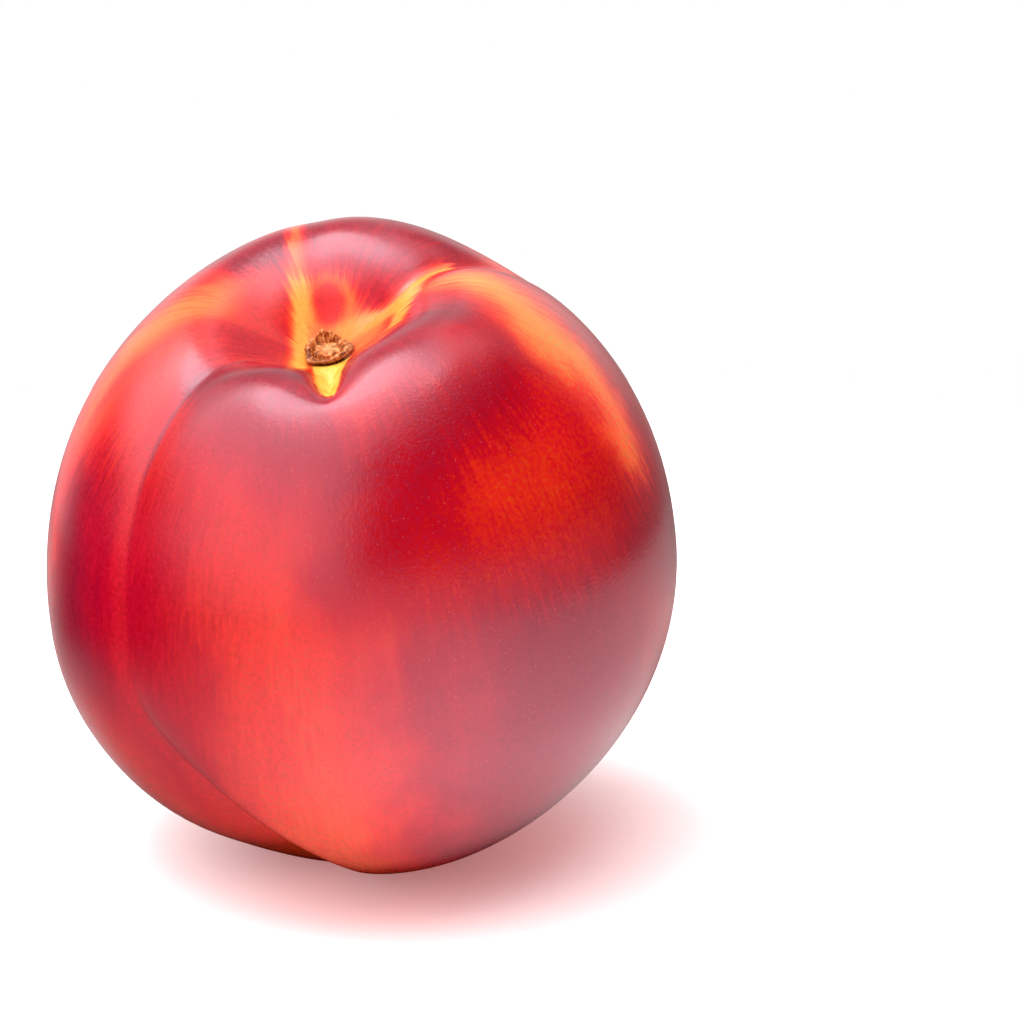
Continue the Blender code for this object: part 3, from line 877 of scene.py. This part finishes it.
def stub_mesh(columns, fraying, middle):
    """The dried stub with its torn fibres and wrinkles, where the solid lies."""
    turn = 360 * np.arange(columns) / columns
    around = np.radians(turn)
    rings, floor = stub_rings(turn)
    fine = soft_rows(rings, STUB_ROWS_BETWEEN)
    rise = np.arange(len(fine))[:, None] - 3 * STUB_ROWS_BETWEEN
    wave = around + 0.35 * np.sin(2 * around + 0.6) + 0.12 * np.sin(5 * around)
    torn = np.sin(13 * wave + 0.5 * rise) + 0.7 * np.sin(21 * wave - 0.6 * rise + 1.3)
    torn = torn + 0.5 * np.sin(5 * wave + 1.1 * rise + 0.4)
    reach = smooth(rise, 0, 1.5 * STUB_ROWS_BETWEEN)
    outward = fine * np.array([1, 1, 0])
    outward = outward / np.linalg.norm(outward, axis=-1, keepdims=True)
    lifted = np.sin(11 * wave + 0.7 * rise) + np.sin(1.7 * rise + 2 * wave)
    fine = fine + outward * (fraying * torn * reach)[..., None]
    fine = fine + np.array([0, 0, 0.6]) * (fraying * lifted * reach)[..., None]
    peg_end = (0, 0, floor - SOCKET_DEPTH + GAP)
    disc_middle = (0, 0, floor + STUB_DISC_HEIGHT)
    points, faces = closed_rings(peg_end, fine, disc_middle)
    mesh = bpy.data.meshes.new("stem_stub_dried")
    mesh.from_pydata((points @ tipping().T - middle).tolist(), [], faces)
    keep_map(mesh, "stem_map", points - np.array([0, 0, floor]))
    mesh.flip_normals()  # its rings run up the stem, so the faces come out turned inwards
    return mesh


def show(name, mesh, surfaces, node):
    """A piece that rides with the fruit and stands for one solid of the frame."""
    old = bpy.data.objects.get(name)
    if old:
        bpy.data.objects.remove(old, do_unlink=True)
    for surface in surfaces:
        mesh.materials.append(surface)
    mesh.shade_smooth()
    made = bpy.data.objects.new(name, mesh)
    bpy.context.scene.collection.objects.link(made)
    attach(made, "root")
    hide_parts(node)
    return made


def colour_property(name, description, default):
    """A colour that a user may change."""
    return FloatVectorProperty(
        name=name, description=description, default=default, subtype="COLOR", min=0, max=1
    )


def amount_property(name, description, default, most=1, **display):
    """An amount that a user may change."""
    return FloatProperty(
        name=name, description=description, default=default, min=0, max=most, **display
    )


def count_property(name, description, default, most):
    """A count that a user may change."""
    return IntProperty(name=name, description=description, default=default, min=24, max=most)


class NectarineSkinLook(bpy.types.PropertyGroup):
    """Colours and finish of the skin."""

    yellow: colour_property("Yellow", "Bare ground colour of the skin", (0.78, 0.46, 0.06))
    amber: colour_property("Amber", "Ground colour with a first breath of blush", (0.82, 0.2, 0.03))
    orange: colour_property("Orange", "Thin blush over the ground colour", (0.8, 0.08, 0.012))
    coral: colour_property("Coral", "Light blush", (0.64, 0.018, 0.006))
    red: colour_property("Red", "Full blush", (0.42, 0.0015, 0.008))
    crimson: colour_property("Crimson", "Deep blush", (0.28, 0.0008, 0.012))
    # Dusk is partly the deepest blush and partly painted shade that darkens the top
    dusk_and_shade: colour_property("Dusk", "Deepest blush", (0.17, 0.0006, 0.011))
    rosy: colour_property("Rosy", "What the far half is multiplied by", (1, 0.45, 1))
    freckle: colour_property("Freckle", "Tiny pores all over the skin", (0.6, 0.09, 0.1))
    freckles: amount_property("Freckles", "How strongly the pores show", 0.34)
    # Glow is painted light: how much the colour is brightened at the two sides
    glow: amount_property("Glow", "How much livelier the blush is at the two sides", 0.3)
    streaks: amount_property("Streaks", "Strength of the streaks from stem to tip", 0.22, 2)
    # Partly paler skin and partly painted sheen beside the suture
    pale_fold_and_sheen: amount_property("Pale Fold", "How much paler the skin is beside the suture", 0.6)
    top_streaks: amount_property("Top Streaks", "Strength of the streaks round the stem", 0.3, 2)
    mottling: amount_property("Mottling", "Strength of the fine uneven colour", 0.24)
    grain: amount_property("Grain", "Strength of the fine light and dark grains", 0.38)
    roughness: amount_property("Roughness", "Least roughness of the satin skin", 0.16)
    roughness_spread: amount_property("Roughness Spread", "How much rougher the grains are", 0.1)
    relief: amount_property(
        "Relief", "Depth of the pores", 0.000015, 0.001, precision=6, unit="LENGTH"
    )
    rows: count_property("Rows", "Rings of the skin's mesh", 168, 260)
    columns: count_property("Columns", "Points in a ring", 288, 360)


class NectarineStubLook(bpy.types.PropertyGroup):
    """Colours and raggedness of the stem stub."""

    # Dark is partly the torn edges' own colour and partly painted shade in the gaps
    dark: colour_property("Dark", "Torn edges and gaps", (0.13, 0.022, 0.004))
    ochre: colour_property("Ochre", "The dry stem's own colour", (0.56, 0.15, 0.02))
    pale: colour_property("Pale", "Broken fibres", (0.8, 0.42, 0.17))
    fraying: amount_property(
        "Fraying", "Height of the torn fibres", 0.00008, 0.0005, precision=5, unit="LENGTH"
    )
    columns: count_property("Columns", "Points in a ring", 220, 400)


class NectarineStudio(bpy.types.PropertyGroup):
    """Light, floor and lens of the studio."""

    light: amount_property("Light", "Brightness of the room round the fruit", 0.68, 10)
    bounce: amount_property("Bounce", "Light that comes up from the floor", 0.6, 10)
    floor: colour_property("Floor", "Colour of the floor", (0.9, 0.9, 0.9))
    # Painted light: the floor glow tints the lifted shadows pink, for light bounced off the fruit
    floor_glow: colour_property("Floor Glow", "What lifts the floor's shadows", (1, 0.36, 0.36))
    lift: amount_property("Lift", "How far the shadows on the floor are lifted", 0.3, 10)
    lens: FloatProperty(
        name="Lens", description="Focal length of the camera, in mm", default=100, min=20
    )


class NECTARINE_OT_fruit(bpy.types.Operator):
    """Build the fruit's skin"""

    bl_idname = "nectarine.fruit"
    bl_label = "Fruit"

    def execute(self, context):
        look = context.scene.nectarine_skin
        mesh, middle = skin_mesh(look.rows, look.columns)
        stroke, mottle = stroke_group(), mottle_group()
        side_blush = side_blush_group(look, stroke, mottle)
        groups = stroke, side_blush, skin_colour_group(look, stroke, mottle)
        top = skin_material(look, "nectarine_skin_top", *groups, True)
        sides = skin_material(look, "nectarine_skin_sides", *groups, False)
        show("nectarine_body", mesh, [top, sides], "fruit")
        context.scene["nectarine_middle"] = middle.tolist()
        return {"FINISHED"}


class NECTARINE_OT_stub(bpy.types.Operator):
    """Build the dried stem stub in the fruit's cavity"""

    bl_idname = "nectarine.stub"
    bl_label = "Stem Stub"

    def execute(self, context):
        if "nectarine_middle" not in context.scene:
            raise RuntimeError("Build the fruit first: the stub stands in its cavity")
        look = context.scene.nectarine_stub
        middle = np.array(context.scene["nectarine_middle"])
        mesh = stub_mesh(look.columns, look.fraying, middle)
        show("stem_stub_dried", mesh, [stub_material(look)], "stem_stub")
        return {"FINISHED"}


CAMERA_PLACE = (0.015878, -0.31458, 0.128336)
CAMERA_DOWN = 15.5
FLOOR_RADIUS = 0.25
FLOOR_CORNERS = 96
WHITE = (1, 1, 1, 1)
BRIGHTEST = 18  # the most that a ring of light can hold

# How bright the room is round the fruit: rings of light, as (height over the horizon, stops).
# A stop is (turn, brightness), and turn is 0 towards the viewer and negative to the left
LIGHT_RINGS = (
    (-6, ((-180, 0.8), (-140, 1), (-120, 0.1), (-88, 0), (-70, 0.5), (-50, 1.6), (-25, 2), (5, 1.6),
        (50, 1.3), (80, 0.8), (110, 0.2), (150, 0.3), (180, 0.6))),
    (12, ((-180, 1.3), (-158, 1.5), (-138, 0.9), (-118, 0.1), (-98, 0.2), (-82, 1), (-60, 2.7),
        (-20, 3), (-8, 2.6), (0, 0.6), (7, 0), (118, 0), (138, 0.8), (160, 1.5), (180, 0.9))),
    (40, ((-180, 1.2), (-150, 0.8), (-128, 2.8), (-112, 4.4), (-100, 4.4), (-55, 4.2), (-20, 3.6),
        (-6, 3), (4, 0.6), (12, 0), (112, 0), (128, 0.8), (155, 0.6), (180, 1.6))),
    (56, ((-180, 1.8), (-152, 1), (-132, 5), (-115, 7.4), (-85, 5.4), (-55, 5.4), (-35, 5.4),
        (-20, 4.4), (5, 2.8), (40, 1.4), (65, 0.8), (85, 1), (115, 2.4), (140, 1.6), (155, 0.8),
        (180, 1.8))),
    (66, ((-180, 2.2), (-150, 2), (-138, 10.5), (-115, 12.5), (-70, 12.5), (-48, 11), (-25, 7),
        (15, 6), (45, 7.6), (75, 4.4), (100, 3), (130, 2.4), (155, 2.4), (180, 2.6))),
    (76, ((-180, 3.4), (-158, 3.4), (-135, 10.5), (-45, 12.5), (-15, 8.5), (50, 7.4), (80, 5.4),
        (110, 4.4), (150, 3.4), (180, 4))),
    (86, ((-180, 6), (-115, 9), (-25, 9.5), (40, 8), (80, 7), (130, 5.4), (180, 6))),
)
# And what comes back from the floor, by turn, near the fruit and farther out
FLOOR_NEAR, FLOOR_FAR = 0.055, 0.115
FLOOR_RING_NEAR = (
    (-180, 0.3), (-140, 0.9), (-115, 0.9), (-85, 0.5), (-55, 0.9), (-25, 2.3), (5, 3.6), (35, 4.1),
    (60, 3.6), (95, 2.4), (120, 1.4), (140, 0.3), (180, 0.2),
)
FLOOR_RING_FAR = (
    (-180, 0.4), (-140, 1), (-115, 0.1), (-85, 0), (-70, 0.1), (-55, 0.6), (-40, 1.2),
    (-25, 1.8), (5, 2.8), (35, 3.4), (60, 3), (95, 2.3), (125, 1.5), (155, 0.5), (180, 0.4),
)


def ring_of_light(tree, turn, stops):
    """Brightness at a turn, between stops given as (turn, brightness)."""
    share = tree.line(turn, 1 / 360, 0.5)
    greys = [(at / 360 + 0.5, [brightness / BRIGHTEST] * 3) for at, brightness in stops]
    return tree.times(tree.ramp(share, greys), BRIGHTEST)


def studio_light(studio):
    """The world: soft light round the fruit, and white where the camera looks past it."""
    world = bpy.data.worlds.new("studio")
    world.use_nodes = True
    world.node_tree.nodes.clear()
    tree = Tree(world.node_tree)
    x, y, z = tree.split(tree.add("TexCoord").outputs["Generated"])
    turn = tree.turn(x, y)
    height = tree.math("DEGREES", tree.math("ARCSINE", z))
    brightness = ring_of_light(tree, turn, LIGHT_RINGS[0][1])
    for (below, _), (above, stops) in zip(LIGHT_RINGS, LIGHT_RINGS[1:]):
        share = tree.ease(height, below, above)
        brightness = tree.blend(share, brightness, ring_of_light(tree, turn, stops))
    seen = tree.add("LightPath").outputs["Is Camera Ray"]
    brightness = tree.blend(seen, tree.times(brightness, studio.light), 1)
    background = tree.add("Background", {"Color": WHITE, "Strength": brightness})
    tree.add("OutputWorld", {"Surface": background.outputs[0]})
    return world


def floor_material(studio):
    """A white board: the camera sees it lit, and the fruit sees the glow that it sends back up."""
    made, tree, shader = new_material("studio_floor")
    here = tree.add("TexCoord").outputs["Object"]
    uneven = tree.noise(here, 9, detail=2)
    shade = [0.985 * channel for channel in studio.floor]
    x, y, _ = tree.split(here)
    away = tree.vector("LENGTH", tree.pack(x, y), output="Value")
    tree.fill(shader, {
        "Base Color": tree.tint(uneven, (*shade, 1), (*studio.floor, 1)),
        "Roughness": tree.line(uneven, 0.1, 0.7),
        "Specular IOR Level": 0.2,
        # Painted light: a pink glow that the camera sees lifts the floor's shadows, for light
        # bounced off the fruit
        "Emission Color": (*studio.floor_glow, 1),
        "Emission Strength": tree.ease(away, 0.014, 0.04, 1.3 * studio.lift, studio.lift),
    })

    # The glow on the fruit: none from under it, and less from far out
    shut_in = tree.ease(away, 0.012, 0.05)
    faded = tree.ease(away, 0.06, FLOOR_RADIUS, 1.15, 0.75)
    turn = tree.turn(x, y)
    reach = tree.ease(away, FLOOR_NEAR, FLOOR_FAR)
    near, far = (ring_of_light(tree, turn, ring) for ring in (FLOOR_RING_NEAR, FLOOR_RING_FAR))
    glow = tree.times(tree.blend(reach, near, far), shut_in, faded, studio.bounce)
    upward = tree.add("Emission", {"Strength": glow}).outputs[0]
    seen = tree.add("LightPath").outputs["Is Camera Ray"]
    either = tree.add("MixShader", {"Fac": seen, 1: upward, 2: shader.outputs[0]})
    tree.fill(made.node_tree.nodes["Material Output"], {"Surface": either.outputs[0]})
    made.cycles.emission_sampling = "NONE"
    return made


class NECTARINE_OT_stage(bpy.types.Operator):
    """Set up the white floor, the soft light and the camera"""

    bl_idname = "nectarine.stage"
    bl_label = "Studio"

    def execute(self, context):
        scene, studio = context.scene, context.scene.nectarine_studio
        mesh = bpy.data.meshes.new("studio_floor")
        rim = [2 * math.pi * step / FLOOR_CORNERS for step in range(FLOOR_CORNERS)]
        corners = [
            (FLOOR_RADIUS * math.cos(turn), FLOOR_RADIUS * math.sin(turn), 0) for turn in rim
        ]
        mesh.from_pydata(corners, [], [tuple(range(FLOOR_CORNERS))])
        mesh.materials.append(floor_material(studio))
        floor = bpy.data.objects.new("studio_floor", mesh)
        scene.collection.objects.link(floor)

        lens = bpy.data.cameras.new("camera")
        lens.lens = studio.lens
        camera = bpy.data.objects.new("camera", lens)
        camera.location = CAMERA_PLACE
        camera.rotation_euler = (math.radians(90 - CAMERA_DOWN), 0, 0)
        scene.collection.objects.link(camera)
        scene.camera = camera
        scene.world = studio_light(studio)
        scene.view_settings.view_transform = "Standard"
        return {"FINISHED"}


class NECTARINE_PT_panel(bpy.types.Panel):
    """Buttons and settings in the sidebar"""

    bl_label = "Nectarine"
    bl_space_type = "VIEW_3D"
    bl_region_type = "UI"
    bl_category = "Nectarine"

    def draw(self, context):
        for operator, settings in (
            (NECTARINE_OT_fruit, context.scene.nectarine_skin),
            (NECTARINE_OT_stub, context.scene.nectarine_stub),
            (NECTARINE_OT_stage, context.scene.nectarine_studio),
        ):
            box = self.layout.box()
            for name in settings.__annotations__:
                box.prop(settings, name)
            box.operator(operator.bl_idname)


SETTINGS = {
    "nectarine_skin": NectarineSkinLook,
    "nectarine_stub": NectarineStubLook,
    "nectarine_studio": NectarineStudio,
}
CLASSES = (
    *SETTINGS.values(),
    NECTARINE_OT_fruit,
    NECTARINE_OT_stub,
    NECTARINE_OT_stage,
    NECTARINE_PT_panel,
)


def register():
    """Adds the classes and the scene's settings."""
    for made in CLASSES:
        bpy.utils.register_class(made)
    for name, made in SETTINGS.items():
        setattr(bpy.types.Scene, name, PointerProperty(type=made))


def unregister():
    """Takes them away again."""
    for name in SETTINGS:
        delattr(bpy.types.Scene, name)
    for made in reversed(CLASSES):
        bpy.utils.unregister_class(made)


def main():
    """Builds the fruit, its stub and the studio."""
    register()
    bpy.ops.nectarine.fruit()
    bpy.ops.nectarine.stub()
    bpy.ops.nectarine.stage()


if __name__ == "__main__":
    main()
